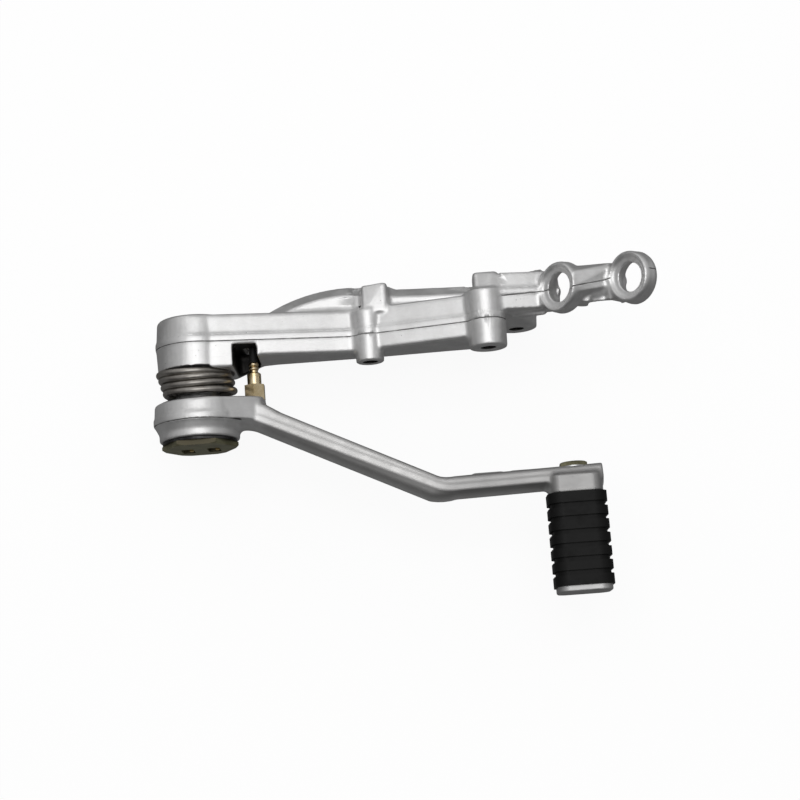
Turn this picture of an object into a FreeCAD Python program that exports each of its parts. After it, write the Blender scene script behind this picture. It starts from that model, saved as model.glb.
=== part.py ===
"""Rear brake pedal for the right side of a motorbike, hung on its cast hanger bracket.

Frame, in millimetres: +X points forward along the bike, +Y inboard and +Z up. The origin is the centre of
the mouth of the bracket's front bolt boss. The pedal's pivot runs along Y, behind and below that boss.
"""
import FreeCAD
import Part
import math
import os
import re
import Sketcher
from FreeCAD import Placement, Rotation, Vector

# Driving dimensions: name, value and what it measures
SIZES = [
    ("seam_y", 12.3, "parting plane of the bracket's plate and bosses"),
    ("ledge_width", 3.0, "width of the raised strip beside a parting line"),
    ("ledge_height", 0.5, "how far that strip stands proud"),
    ("draft", 2.0, "draft of cast walls, in degrees"),
    ("plate_face_y", 5.0, "outboard face of the plate"),
    ("plate_back_y", 25.2, "inboard face of the plate"),
    ("plate_rounding", 1.6, "rounding of the plate's outboard rim"),
    ("waist_x", -63.0, "lowest place of the plate's top edge, along the bike"),
    ("waist_top_z", -9.3, "height of the plate's top edge there"),
    ("neck_top_z", 3.2, "height of the plate's top edge at the pivot boss"),
    ("crest_top_z", 4.4, "height of the plate's top edge at the front boss"),
    ("plate_bottom_z", -27.0, "underside of the plate"),
    ("pivot_x", -133.5, "pivot axis, along the bike"),
    ("pivot_z", -14.0, "pivot axis, height"),
    ("pivot_boss_radius", 18.2, "pivot boss at its parting line"),
    ("pivot_boss_face_y", -0.5, "outboard face of the pivot boss"),
    ("pivot_boss_back_y", 25.6, "inboard face of the pivot boss"),
    ("stop_block_face_y", 0.2, "outboard face of the block that holds the stop window"),
    ("stop_block_bend_x", -117.0, "where that face starts to slope back to the plate"),
    ("stop_block_front_x", -103.5, "front end of that slope"),
    ("window_depth_y", 10.7, "inboard wall of the open stop window"),
    ("window_length", 10.4, "length of the stop window along the bike"),
    ("rear_boss_x", -53.7, "rear bolt boss, along the bike"),
    ("rear_boss_z", -12.0, "rear bolt boss, height"),
    ("rear_boss_radius", 6.4, "rear bolt boss at its mouth"),
    ("front_boss_radius", 8.6, "front bolt boss at its mouth"),
    ("low_boss_x", 16.0, "low bolt boss, along the bike"),
    ("low_boss_z", -38.0, "low bolt boss, height"),
    ("low_boss_face_y", 16.4, "mouth of the low bolt boss"),
    ("low_boss_radius", 7.7, "low bolt boss at its mouth"),
    ("front_lug_side", 11.8, "side of the square lug behind the front boss"),
    ("front_lug_back_y", 35.0, "inboard face of that lug"),
    ("rear_lug_side", 12.6, "side of the square lug behind the rear boss"),
    ("rear_lug_back_y", 35.9, "inboard face of that lug"),
    ("thread_radius", 3.4, "tapping radius of the M8 bosses"),
    ("thread_depth", 26.0, "depth of the upper tapped holes"),
    ("low_thread_depth", 12.0, "depth of the low tapped hole"),
    ("gusset_rear_x", -102.5, "rear end of the arched gusset"),
    ("gusset_back_y", 37.1, "inboard reach of the gusset"),
    ("gusset_arch_radius", 78.0, "radius of the gusset's arched edge"),
    ("gusset_top_z", -11.5, "upper face of the gusset"),
    ("gusset_bottom_z", -25.5, "lower face of the gusset"),
    ("gusset_bevel", 4.8, "bevel along the gusset's arched edge"),
    ("arm_seam_y", 23.2, "parting plane of the forward arm and its eyes"),
    ("arm_face_y", 16.2, "outboard face of the forward arm"),
    ("arm_back_y", 33.2, "inboard face of the forward arm"),
    ("eye_rear_x", 34.6, "rear eye, along the bike"),
    ("eye_rear_z", 9.0, "rear eye, height"),
    ("eye_front_x", 64.9, "front eye, along the bike"),
    ("eye_front_z", 21.0, "front eye, height"),
    ("eye_tilt", 50.0, "how far the eyes lean back from level, in degrees"),
    ("eye_rear_radius", 11.75, "rear eye, outside"),
    ("eye_front_radius", 11.9, "front eye, outside"),
    ("eye_thickness", 8.4, "thickness of an eye along its axis"),
    ("eye_well_radius", 9.8, "counterbore of an eye"),
    ("eye_counterbore", 1.8, "depth of an eye's counterbore"),
    ("eye_bore_radius", 6.6, "bolt hole of an eye"),
    ("eye_back_radius", 8.5, "wider back of an eye's hole"),
    ("eye_back_depth", 3.7, "depth of that wider back"),
    ("spring_gap", 13.0, "room between the pivot boss and the pedal's hub"),
    ("wire_diameter", 2.3, "wire of the return spring"),
    ("spring_radius", 16.1, "mean radius of the return spring"),
    ("spring_turns", 4.0, "turns of the return spring"),
    ("spring_play", 0.2, "room between an end coil and its seat"),
    ("spring_seat_thickness", 0.5, "flat ring between the spring and the hub"),
    ("leg_angle", -45.0, "where the spring's legs enter their holes, in degrees above forward"),
    ("leg_depth", 4.5, "how deep a spring leg goes into its hole"),
    ("leg_clearance", 0.3, "room round a spring leg"),
    ("hub_length", 17.0, "length of the pedal's hub"),
    ("hub_radius", 20.3, "pedal's hub at its parting line"),
    ("hub_spigot_radius", 18.2, "outboard end of the hub"),
    ("hub_seam_depth", 9.6, "from the hub's inboard face to its parting line"),
    ("hub_spigot_length", 3.4, "length of the hub's outboard cylinder"),
    ("bolt_radius", 6.0, "shank of the pivot bolt"),
    ("bolt_clearance", 0.15, "room round the shank"),
    ("sleeve_radius", 10.0, "outside of the pivot sleeve"),
    ("running_clearance", 0.05, "radial clearance of the bushes on the sleeve"),
    ("bush_wall", 2.0, "wall of a bush"),
    ("bush_length", 5.6, "length of a bush"),
    ("seal_length", 2.0, "length of a dust seal"),
    ("end_play", 0.3, "room between the hub and the retaining washer"),
    ("washer_radius", 16.9, "retaining washer"),
    ("washer_thickness", 1.0, "retaining washer, thickness"),
    ("head_across_flats", 30.2, "hexagonal head of the pivot bolt"),
    ("head_thickness", 2.3, "thickness of that head"),
    ("recess_depth", 1.5, "depth of the two recesses in that head"),
    ("recess_offset", 5.9, "distance of a recess from the pivot axis"),
    ("recess_width", 5.7, "width of a recess along the bike"),
    ("recess_height", 10.5, "height of a recess"),
    ("pin_radius", 1.1, "brass pin in a recess"),
    ("nut_across_flats", 18.0, "nut on the pivot bolt"),
    ("nut_height", 7.5, "height of that nut"),
    ("nut_well_radius", 11.4, "counterbore for that nut"),
    ("nut_well_depth", 11.0, "depth of that counterbore"),
    ("nut_washer_thickness", 1.6, "washer under that nut"),
    ("stud_reach", 26.2, "limit stud, distance from the pivot axis"),
    ("stud_across_flats", 8.8, "hexagon of the limit stud"),
    ("stud_hex_length", 7.2, "length of that hexagon"),
    ("stud_barrel_radius", 3.2, "round part above the hexagon"),
    ("stud_barrel_length", 5.9, "length of the round part"),
    ("stud_neck_radius", 1.9, "neck above the round part"),
    ("stud_neck_length", 0.9, "length of the neck"),
    ("bead_radius", 2.35, "two rounded beads below the buffer"),
    ("bead_length", 1.95, "length of one bead"),
    ("stud_stem_radius", 3.0, "threaded stem in the pedal"),
    ("stud_stem_length", 9.0, "length of that stem"),
    ("buffer_radius", 1.7, "black buffer on the stud's tip"),
    ("buffer_core_radius", 1.1, "stud inside the buffer"),
    ("buffer_length", 8.0, "length of the buffer"),
    ("buffer_tip", 1.0, "thickness of the buffer's closed end"),
    ("stop_clearance", 0.3, "room between the buffer and its stops"),
    ("travel", 18.0, "pedal travel between its stops, in degrees"),
    ("nose_radius", 7.6, "front end of the hub's nose, round the stud"),
    ("lever_thickness", 7.0, "straight part of the lever inboard of its parting line"),
    ("lever_bulge", 3.0, "rounded outboard side of the straight part"),
    ("root_thickness", 8.0, "lever inboard of its parting line at the hub"),
    ("root_bulge", 3.7, "rounded outboard side of the lever at the hub"),
    ("waist_thickness", 6.0, "lever inboard of its parting line before the front bend"),
    ("waist_bulge", 5.6, "rounded outboard side of the lever before the front bend"),
    ("lever_height", 14.4, "height of the lever"),
    ("lever_edge_radius", 2.0, "rounding of the lever's inboard edges"),
    ("lever_step", 0.35, "step at the lever's parting line"),
    ("rear_bend_x", -109.0, "rear bend of the lever, along the bike"),
    ("rear_bend_radius", 18.0, "radius of the rear bend"),
    ("front_bend_x", -24.5, "front bend of the lever, along the bike"),
    ("front_bend_y", -62.6, "front bend of the lever, outboard"),
    ("front_bend_radius", 22.0, "radius of the front bend"),
    ("lever_end_x", 47.0, "front end of the lever"),
    ("lever_end_y", -61.3, "parting line at the lever's front end"),
    ("mark_height", 0.6, "raised blank fields on the lever's inboard edge"),
    ("peg_x", 34.4, "toe peg, along the bike"),
    ("peg_z", -14.0, "toe peg, height"),
    ("seat_face_y", -67.0, "face that the toe peg sits on"),
    ("seat_length", 24.0, "length of that seat along the bike"),
    ("seat_height", 19.0, "height of that seat"),
    ("core_width", 16.0, "toe peg inside its rubber, along the bike"),
    ("core_height", 12.0, "toe peg inside its rubber, height"),
    ("core_corner", 3.0, "corner radius of that core"),
    ("rubber_width", 26.6, "peg rubber over its ribs, along the bike"),
    ("rubber_height", 22.0, "peg rubber over its ribs, height"),
    ("rubber_corner", 6.5, "corner radius of the rubber"),
    ("rubber_length", 41.6, "length of the rubber"),
    ("rib_pitch", 6.05, "spacing of the ribs"),
    ("groove_width", 2.1, "width of a groove at its mouth"),
    ("groove_depth", 1.2, "depth of a groove"),
    ("groove_count", 6.0, "grooves along the rubber"),
    ("flange_width", 24.6, "end flange of the peg, along the bike"),
    ("flange_height", 20.0, "end flange of the peg, height"),
    ("flange_thickness", 2.8, "thickness of the end flange"),
    ("flange_rounding", 0.9, "rounding of the end flange"),
    ("peg_bolt_radius", 4.0, "peg bolt"),
    ("peg_bolt_length", 26.0, "peg bolt under its head"),
    ("peg_bolt_flats", 12.0, "head of the peg bolt, across flats"),
    ("peg_bolt_head", 2.0, "height of that head"),
    ("peg_washer_radius", 6.6, "washer under that head"),
    ("peg_washer_thickness", 0.6, "thickness of that washer"),
    ("spot_face_radius", 7.2, "machined flat under that washer"),
    ("spot_face_depth", 0.9, "depth of that flat"),
]

DOC = FreeCAD.newDocument("brake_pedal")
SHEET = DOC.addObject("Spreadsheet::Sheet", "Sizes")
NAMES = {name for name, _, _ in SIZES}


def fill_sheet():
    """The driving dimensions, one row each: name, value and meaning."""
    for row, (name, value, meaning) in enumerate(SIZES, start=1):
        SHEET.set(f"A{row}", name)
        SHEET.set(f"B{row}", str(value))
        SHEET.set(f"C{row}", meaning)
        SHEET.setAlias(f"B{row}", name)
    DOC.recompute()


def formula(text):
    """A sum of size names written out for the sheet."""
    words = re.split(r"([A-Za-z_]+)", str(text))
    return "".join(f"Sizes.{word}" if word in NAMES else word for word in words)


def mm(text):
    """The value of such a sum."""
    return float(SHEET.evalExpression(formula(text)))


def bind(thing, **sums):
    """Ties properties to sums of sizes. A double underscore in a keyword stands for a dot."""
    for name, text in sums.items():
        thing.setExpression(name.replace("__", "."), formula(text))
    return thing


def place(thing, x="0", y="0", z="0", turn=None):
    """Puts a thing at a place worked out from the sizes."""
    thing.Placement = Placement(Vector(mm(x), mm(y), mm(z)), turn or Rotation())
    return bind(thing, Placement__Base__x=x, Placement__Base__y=y, Placement__Base__z=z)


# Sketches and the solids made from them

def arc_between(start, end, radius):
    """The arc from start to end. It bulges to the right of the way there, or to the left if negative."""
    chord = end - start
    across = Vector(chord.y, -chord.x, 0).normalize()
    rise = math.sqrt(max(radius * radius - chord.Length ** 2 / 4, 0))
    centre = (start + end) / 2 - across * math.copysign(rise, radius)
    first, last = (start, end) if radius > 0 else (end, start)
    angles = [math.atan2(p.y - centre.y, p.x - centre.x) for p in (first, last)]
    circle = Part.Circle(centre, Vector(0, 0, 1), abs(radius))
    return Part.ArcOfCircle(circle, angles[0], angles[1])


def draw(sketch, corners):
    """A closed outline. Each corner is (across, up) or (across, up, radius of the arc that leaves it)."""
    points = [Vector(mm(corner[0]), mm(corner[1]), 0) for corner in corners]
    first = sketch.GeometryCount
    ends = []
    for index, corner in enumerate(corners):
        start = points[index]
        end = points[(index + 1) % len(points)]
        if len(corner) == 3:
            radius = mm(corner[2])
            edge = sketch.addGeometry(arc_between(start, end, radius))
            ends.append((1, 2) if radius > 0 else (2, 1))
            name = sketch.addConstraint(Sketcher.Constraint("Radius", edge, abs(radius)))
            text = corner[2] if radius > 0 else f"-({corner[2]})"
            sketch.setExpression(f"Constraints[{name}]", formula(text))
        else:
            sketch.addGeometry(Part.LineSegment(start, end))
            ends.append((1, 2))
    for index, corner in enumerate(corners):
        edge = first + index
        following = first + (index + 1) % len(corners)
        near = ends[index][0]
        nearer = ends[(index + 1) % len(corners)][0]
        sketch.addConstraint(Sketcher.Constraint("Coincident", edge, ends[index][1], following, nearer))
        for axis, position, text in (("DistanceX", points[index].x, corner[0]),
                                     ("DistanceY", points[index].y, corner[1])):
            name = sketch.addConstraint(Sketcher.Constraint(axis, -1, 1, edge, near, position))
            sketch.setExpression(f"Constraints[{name}]", formula(text))


def sketch_in(body, role, offset="0"):
    """A sketch on one of a body's own origin planes. On XZ it looks inboard, so it is moved along -Y."""
    plane = next(item for item in body.Origin.OriginFeatures if item.Role == role)
    sketch = body.newObject("Sketcher::SketchObject", f"{body.Name}_sketch")
    sketch.AttachmentSupport = [(plane, "")]
    sketch.MapMode = "FlatFace"
    bind(sketch, AttachmentOffset__Base__z=offset)
    return sketch


def new_body(name):
    """An empty body for one solid."""
    return DOC.addObject("PartDesign::Body", name)


def pad(body, sketch, length, back=False, narrowing="0"):
    """The sketch drawn out to a length, its walls leaning in by the draft."""
    feature = body.newObject("PartDesign::Pad", f"{body.Name}_pad")
    feature.Profile = sketch
    feature.Reversed = back
    bind(feature, Length=length, TaperAngle=f"-({narrowing})")
    sketch.Visibility = False
    return feature


def turned(name, corners, x="0", y="0", z="0", turn=None):
    """A turned solid. Each corner is (radius, place along Y), then an arc's radius where one leaves it."""
    body = new_body(name)
    sketch = sketch_in(body, "XY_Plane")
    draw(sketch, corners)
    feature = body.newObject("PartDesign::Revolution", f"{name}_turned")
    feature.Profile = sketch
    feature.ReferenceAxis = (sketch, ["V_Axis"])
    feature.Angle = 360
    return place(body, x, y, z, turn)


def ring(name, inner, outer, start, end, x="pivot_x", z="pivot_z"):
    """A plain ring round an axis along Y."""
    return turned(name, [(inner, start), (outer, start), (outer, end), (inner, end)], x, "0", z)


def upright_slab(name, corners, start, length, back=False, narrowing="0"):
    """An outline in X and Z drawn out along Y from a starting plane: outboard, or inboard if back is set."""
    body = new_body(name)
    sketch = sketch_in(body, "XZ_Plane", f"-({start})")
    draw(sketch, corners)
    pad(body, sketch, length, back, narrowing)
    return body


def tangent_link(name, near, far, start, length, back=False, narrowing="0"):
    """Two rounds, each (x, z, radius), and the straight sides that touch both, drawn out along Y."""
    body = new_body(name)
    sketch = sketch_in(body, "XZ_Plane", f"-({start})")
    a = Vector(mm(near[0]), mm(near[1]), 0)
    b = Vector(mm(far[0]), mm(far[1]), 0)
    way = math.atan2(b.y - a.y, b.x - a.x)
    lean = math.acos((mm(near[2]) - mm(far[2])) / (b - a).Length)
    arcs = []
    for centre, radius, low, high in ((a, mm(near[2]), way + lean, way - lean + 2 * math.pi),
                                      (b, mm(far[2]), way - lean, way + lean)):
        circle = Part.Circle(centre, Vector(0, 0, 1), radius)
        arcs.append(sketch.addGeometry(Part.ArcOfCircle(circle, low, high)))
    touch = [edge.toShape().Vertexes for edge in sketch.Geometry]
    upper = sketch.addGeometry(Part.LineSegment(touch[1][1].Point, touch[0][0].Point))
    lower = sketch.addGeometry(Part.LineSegment(touch[0][1].Point, touch[1][0].Point))
    for join in ((arcs[1], 2, upper, 1), (upper, 2, arcs[0], 1),
                 (arcs[0], 2, lower, 1), (lower, 2, arcs[1], 1)):
        sketch.addConstraint(Sketcher.Constraint("Tangent", *join))
    for arc, (x, z, radius) in zip(arcs, (near, far)):
        for kind, args, text in (("DistanceX", (-1, 1, arc, 3, mm(x)), x),
                                 ("DistanceY", (-1, 1, arc, 3, mm(z)), z),
                                 ("Radius", (arc, mm(radius)), radius)):
            limit = sketch.addConstraint(Sketcher.Constraint(kind, *args))
            sketch.setExpression(f"Constraints[{limit}]", formula(text))
    pad(body, sketch, length, back, narrowing)
    return body


def block(name, low, high):
    """A box between two corners, each given as sums of sizes."""
    box = DOC.addObject("Part::Box", name)
    bind(box, Length=f"({high[0]}) - ({low[0]})", Width=f"({high[1]}) - ({low[1]})",
         Height=f"({high[2]}) - ({low[2]})")
    return place(box, *low)


def rod(name, radius, x, start, end, z):
    """A cylinder along Y."""
    cylinder = DOC.addObject("Part::Cylinder", name)
    bind(cylinder, Radius=radius, Height=f"({end}) - ({start})")
    return place(cylinder, x, start, z, Rotation(Vector(1, 0, 0), -90))


def hexagon(name, across_flats, x, start, end, z, corner_up=False):
    """A hexagonal prism along Y, with a corner or a flat on top."""
    prism = DOC.addObject("Part::Prism", name)
    prism.Polygon = 6
    bind(prism, Circumradius=f"({across_flats}) / 2 / cos(30)", Height=f"({end}) - ({start})")
    spin = Rotation(Vector(0, 1, 0), 30 if corner_up else 0)
    return place(prism, x, start, z, spin.multiply(Rotation(Vector(1, 0, 0), -90)))


def fuse(name, *things):
    """Solids joined into one."""
    joined = DOC.addObject("Part::MultiFuse", name)
    joined.Shapes = list(things)
    joined.Refine = True
    return joined


def cut(name, base, *tools):
    """A solid less some others."""
    tool = tools[0] if len(tools) == 1 else fuse(f"{name}_tools", *tools)
    result = DOC.addObject("Part::Cut", name)
    result.Base = base
    result.Tool = tool
    result.Refine = True
    return result


def round_edges(name, base, radius, wanted, kind="Part::Fillet"):
    """Rounds, or bevels, the edges of a solid that wanted() picks."""
    DOC.recompute()
    size = mm(radius)
    picked = [(number, size, size) for number, edge in enumerate(base.Shape.Edges, start=1) if wanted(edge)]
    rounded = DOC.addObject(kind, name)
    rounded.Base = base
    rounded.Edges = picked
    return rounded


def lies_at(axis, position):
    """Picks edges that lie in a plane across an axis."""
    def wanted(edge):
        box = edge.BoundBox
        low, high = (box.YMin, box.YMax) if axis == "y" else (box.ZMin, box.ZMax)
        return abs(low - position) < 0.01 and abs(high - position) < 0.01
    return wanted


def rounded_rectangle(width, height, radius, x="0", z="0"):
    """Corners of a rectangle with rounded corners, about a centre."""
    w, h, radius = f"({width}) / 2", f"({height}) / 2", f"({radius})"
    return [
        (f"{x} + {w} - {radius}", f"{z} - {h}", radius),
        (f"{x} + {w}", f"{z} - {h} + {radius}"),
        (f"{x} + {w}", f"{z} + {h} - {radius}", radius),
        (f"{x} + {w} - {radius}", f"{z} + {h}"),
        (f"{x} - {w} + {radius}", f"{z} + {h}", radius),
        (f"{x} - {w}", f"{z} + {h} - {radius}"),
        (f"{x} - {w}", f"{z} - {h} + {radius}", radius),
        (f"{x} - {w} + {radius}", f"{z} - {h}"),
    ]


# Places along the pivot that several pieces share
HUB_FACE = "pivot_boss_face_y - spring_gap"
HUB_END = f"{HUB_FACE} - hub_length"
HUB_SEAM = f"{HUB_FACE} - hub_seam_depth"
SLEEVE_END = f"{HUB_END} - end_play"
WASHER_END = f"{SLEEVE_END} - washer_thickness"
HEAD_END = f"{WASHER_END} - head_thickness"
BUSH_RADIUS = "sleeve_radius + running_clearance + bush_wall"
WELL_FLOOR = "pivot_boss_back_y - nut_well_depth"
STUD_X = "pivot_x + stud_reach"
LEG_X = "pivot_x + spring_radius * cos(leg_angle)"
LEG_Z = "pivot_z + spring_radius * sin(leg_angle)"
BUFFER_START = (f"{HUB_FACE} + stud_hex_length + stud_barrel_length + stud_neck_length"
                " + 2 * bead_length")
BUFFER_END = f"{BUFFER_START} + buffer_length"
SPOT_FACE = "lever_end_y + lever_thickness - spot_face_depth"


# Hanger bracket, one casting

def plate_outline(inset):
    """The plate seen from the side: it dips at the waist and runs from the pivot boss to the front boss."""
    return [
        ("pivot_x", f"plate_bottom_z - 3.6 + {inset}"),
        ("pivot_x + 16", f"plate_bottom_z - 3.6 + {inset}"),
        ("gusset_rear_x + 6", f"plate_bottom_z + {inset}"),
        ("rear_boss_x", f"plate_bottom_z + {inset}"),
        ("-20", f"plate_bottom_z + 2 + {inset}"),
        (f"6.4 - {inset}", f"plate_bottom_z + 3 + {inset}"),
        (f"6.4 - {inset}", "0"),
        ("0", f"crest_top_z + 1 - {inset}"),
        ("-7", f"crest_top_z - 1 - {inset}"),
        ("rear_boss_x + 7", f"rear_boss_z + rear_boss_radius - {inset}"),
        ("waist_x + 1", f"waist_top_z - {inset}"),
        ("waist_x - 6", f"waist_top_z + 1 - {inset}"),
        ("pivot_x + 12", f"neck_top_z - 1.6 - {inset}"),
        ("pivot_x", f"neck_top_z - {inset}"),
    ]


def plate():
    """The plate: a rounded outboard half, a raised strip at the parting line and a drafted inboard half."""
    outer = upright_slab("plate_outer", plate_outline("0.3"), "seam_y", "seam_y - plate_face_y", False,
                         "draft")
    outer = round_edges("plate_rim", outer, "plate_rounding", lies_at("y", mm("plate_face_y")))
    strip = upright_slab("plate_strip", plate_outline("0"), "seam_y", "ledge_width", True)
    inner = upright_slab("plate_inner", plate_outline("ledge_height"), "seam_y", "plate_back_y - seam_y",
                         True, "draft")
    inner = round_edges("plate_back_rim", inner, "plate_rounding", lies_at("y", mm("plate_back_y")))
    return [outer, strip, inner]


def pivot_boss():
    """The round boss that carries the pivot, drafted both ways from its parting line."""
    r = "pivot_boss_radius"
    strip_end = "seam_y + ledge_width"
    return [turned("pivot_boss", [
        ("0", "pivot_boss_face_y"),
        (f"{r} - 3", "pivot_boss_face_y", "2.2"),
        (f"{r} - 0.8", "pivot_boss_face_y + 2.2"),
        (f"{r} - 0.3", "seam_y"),
        (r, "seam_y"),
        (r, strip_end),
        (f"{r} - ledge_height", strip_end),
        (f"{r} - ledge_height - 0.6", "pivot_boss_back_y - 2", "2"),
        (f"{r} - ledge_height - 2.6", "pivot_boss_back_y"),
        ("0", "pivot_boss_back_y"),
    ], "pivot_x", "0", "pivot_z")]


def stop_block():
    """The thicker part of the plate beside the pivot boss. It slopes back to the plate by the window."""
    top = "neck_top_z - 0.3"
    sides = upright_slab("stop_block_sides", [
        ("pivot_x", "plate_bottom_z - 3.3"),
        ("pivot_x + 16", "plate_bottom_z - 3.3"),
        ("stop_block_front_x", "plate_bottom_z"),
        ("stop_block_front_x", f"{top} - 5"),
        ("pivot_x + 12", f"{top} - 1.6"),
        ("pivot_x", top),
    ], "seam_y", "seam_y - stop_block_face_y", False, "draft")
    sides = round_edges("stop_block_rim", sides, "1.2", lies_at("y", mm("stop_block_face_y")))
    plan = new_body("stop_block_plan")
    sketch = sketch_in(plan, "XY_Plane", "plate_bottom_z - 8")
    draw(sketch, [
        ("pivot_x", "stop_block_face_y"),
        ("stop_block_bend_x", "stop_block_face_y"),
        ("stop_block_front_x", "plate_face_y"),
        ("stop_block_front_x", "seam_y"),
        ("pivot_x", "seam_y"),
    ])
    pad(plan, sketch, "neck_top_z - plate_bottom_z + 16")
    block_solid = DOC.addObject("Part::MultiCommon", "stop_block")
    block_solid.Shapes = [sides, plan]
    return [block_solid]


def bolt_boss(name, x, z, mouth_y, radius, growth, end_y):
    """A drafted boss whose tapped hole opens outboard."""
    return turned(name, [
        ("0", mouth_y),
        (f"{radius} - 0.5", mouth_y, "0.5"),
        (radius, f"{mouth_y} + 0.5"),
        (f"{radius} + {growth}", end_y),
        ("0", end_y),
    ], x, "0", z)


def lug(name, x, z, start_y):
    """The square inboard end of a bolt boss, with rounded corners."""
    outline = rounded_rectangle(f"{name}_side", f"{name}_side", "2.2", x, z)
    body = upright_slab(name, outline, start_y, f"{name}_back_y - ({start_y})", True, "1")
    return round_edges(f"{name}_rim", body, "1.2", lies_at("y", mm(f"{name}_back_y")))


def bosses():
    """The three bolt bosses and the lugs behind the upper two."""
    return [
        bolt_boss("rear_boss", "rear_boss_x", "rear_boss_z", "0", "rear_boss_radius", "0.7",
                  "rear_lug_back_y - 12"),
        bolt_boss("front_boss", "0", "0", "0", "front_boss_radius", "0.6", "front_lug_back_y - 9"),
        bolt_boss("low_boss", "low_boss_x", "low_boss_z", "low_boss_face_y", "low_boss_radius", "0.8",
                  "arm_back_y"),
        lug("rear_lug", "rear_boss_x + 4", "rear_boss_z", "plate_back_y - 3"),
        lug("front_lug", "1", "0", "plate_back_y - 1"),
    ]


def gusset():
    """The arched stiffener on the plate's inboard side, bevelled along its arch."""
    body = new_body("gusset")
    sketch = sketch_in(body, "XY_Plane", "gusset_bottom_z")
    draw(sketch, [
        ("gusset_rear_x", "seam_y + ledge_width + 1"),
        ("4", "seam_y + ledge_width + 1"),
        ("4", "gusset_back_y - 5.5"),
        ("-3", "gusset_back_y - 3.6"),
        ("rear_boss_x + 14", "gusset_back_y - 2.4"),
        ("rear_boss_x + 9", "gusset_back_y"),
        ("waist_x + 4", "gusset_back_y", "gusset_arch_radius"),
        ("gusset_rear_x", "plate_back_y + 0.8"),
    ])
    pad(body, sketch, "gusset_top_z - gusset_bottom_z")
    top = mm("gusset_top_z")
    back = mm("plate_back_y") + 0.5

    def on_arch(edge):
        return lies_at("z", top)(edge) and edge.BoundBox.YMax > back and edge.BoundBox.XMax < 3
    return [round_edges("gusset_bevel_edge", body, "gusset_bevel", on_arch, "Part::Chamfer")]


def two_sided_link(name, near, far, face_y, back_y):
    """A link drawn out both ways from the arm's parting plane, with its raised strip."""
    proud = [(x, z, f"{radius} + ledge_height") for x, z, radius in (near, far)]
    return [
        tangent_link(f"{name}_outer", near, far, "arm_seam_y", f"arm_seam_y - ({face_y})", False,
                     "draft + 2"),
        tangent_link(f"{name}_strip", *proud, "arm_seam_y", "ledge_width - 0.6", True),
        tangent_link(f"{name}_inner", near, far, "arm_seam_y", f"({back_y}) - arm_seam_y", True,
                     "draft + 1"),
    ]


def forward_arm():
    """The arm from the front boss to the two eyes, and the web down to the low boss."""
    return [
        *two_sided_link("web", ("3.4", "-6", "7.8"), ("low_boss_x", "low_boss_z", "low_boss_radius + 2.4"),
                        "arm_face_y + 0.6", "arm_back_y - 0.6"),
        *two_sided_link("arm", ("4", "-1", "7.5"), ("eye_rear_x - 5.6", "eye_rear_z - 11.6", "5.5"),
                        "arm_face_y", "arm_back_y"),
        *two_sided_link("link", ("eye_rear_x + 9.4", "eye_rear_z + 0.3", "5.3"),
                        ("eye_front_x - 6.9", "eye_front_z - 10.4", "5"), "arm_face_y - 1.6",
                        "arm_back_y - 2"),
    ]


def eye(name, x, z, radius):
    """A tilted eye, rounded outside, with a counterbore on its rearward face: its solid and its hollow."""
    tilt = Rotation(Vector(0, 1, 0), -mm("eye_tilt")).multiply(Rotation(Vector(1, 0, 0), 90))
    half = "eye_thickness / 2"
    outside = turned(name, [
        ("0", f"-{half}"),
        (f"{radius} - 2.6", f"-{half}", "2.4"),
        (f"{radius} - 0.3", f"2.2 - {half}"),
        (radius, "-1.5"),
        (f"{radius} - 0.25", "0.9", "4.6"),
        (f"{radius} - 1.1", half),
        ("0", half),
    ], x, "arm_seam_y", z, tilt)
    step = f"eye_back_depth - {half}"
    hollow = turned(f"{name}_hollow", [
        ("0", f"-{half} - 9"),
        ("eye_bore_radius + 0.4", f"-{half} - 9"),
        ("eye_bore_radius + 0.4", f"-{half} - 1"),
        ("eye_back_radius", f"-{half} - 1"),
        ("eye_back_radius", step),
        ("eye_bore_radius", step),
        ("eye_bore_radius", f"{half} - eye_counterbore"),
        ("eye_well_radius - 0.3", f"{half} - eye_counterbore"),
        ("eye_well_radius", half),
        ("eye_well_radius", f"{half} + 9"),
        ("0", f"{half} + 9"),
    ], x, "arm_seam_y", z, tilt)
    return outside, hollow


def tapped_hole(name, x, z, mouth_y, depth):
    """A tapped blind hole with a drill point."""
    return turned(name, [
        ("0", f"{mouth_y} - 2"),
        ("thread_radius", f"{mouth_y} - 2"),
        ("thread_radius", f"{mouth_y} + {depth}"),
        ("0", f"{mouth_y} + {depth} + thread_radius / 2"),
    ], x, "0", z)


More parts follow.
